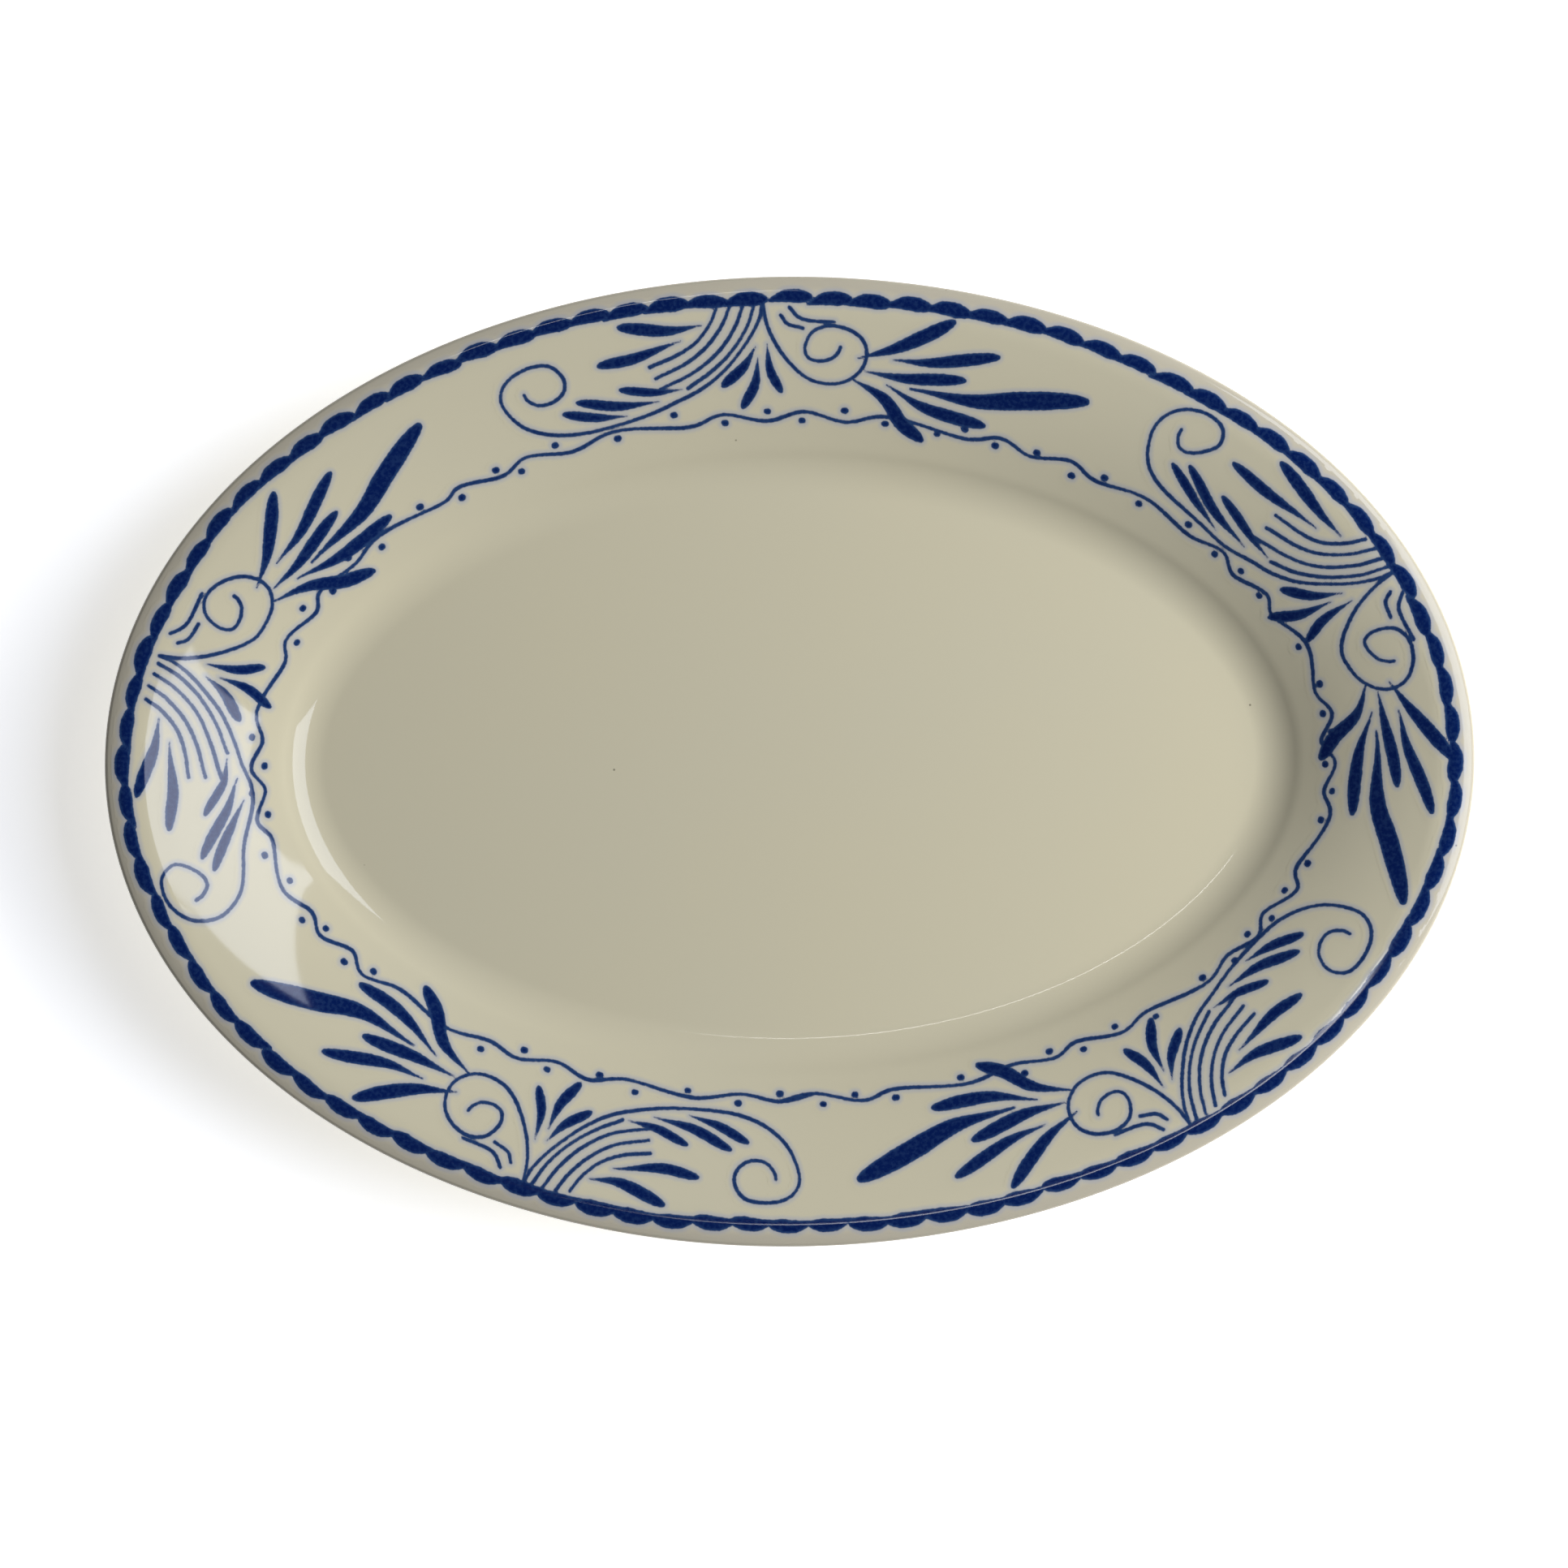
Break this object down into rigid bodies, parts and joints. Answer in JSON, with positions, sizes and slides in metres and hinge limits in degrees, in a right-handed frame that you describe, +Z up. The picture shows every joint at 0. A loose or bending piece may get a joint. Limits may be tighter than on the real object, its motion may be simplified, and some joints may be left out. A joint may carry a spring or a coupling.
{
  "type": "serving platter",
  "caption": "Oval serving platter in glazed ivory china with a foot ring, wide sloping rim and shallow flat well, decorated in blue with scroll sprays, a wavy dotted line and a scalloped edge.",
  "frame": {"origin": "centre of the oval, on the plane that the foot ring stands on", "axes": "+X along the platter's length, +Y along its width, +Z up out of the well"},
  "size_m": [0.318, 0.2252, 0.027],
  "materials": {
    "biscuit": "matte, fired china left dry on the foot ring",
    "glaze": "glossy clear glaze over ivory china",
    "cobalt_print": "glossy cobalt blue under the glaze, slightly bled at its edges"
  },
  "bodies": {
    "root": {"china_body": "biscuit", "face_glaze": "glaze", "foot_recess_glaze": "glaze", "edge_scallop_print": "cobalt_print", "wave_line_print": "cobalt_print", "spray_print_1": "cobalt_print", "spray_print_2": "cobalt_print", "spray_print_3": "cobalt_print", "spray_print_4": "cobalt_print", "spray_print_5": "cobalt_print"}
  },
  "joints": []
}
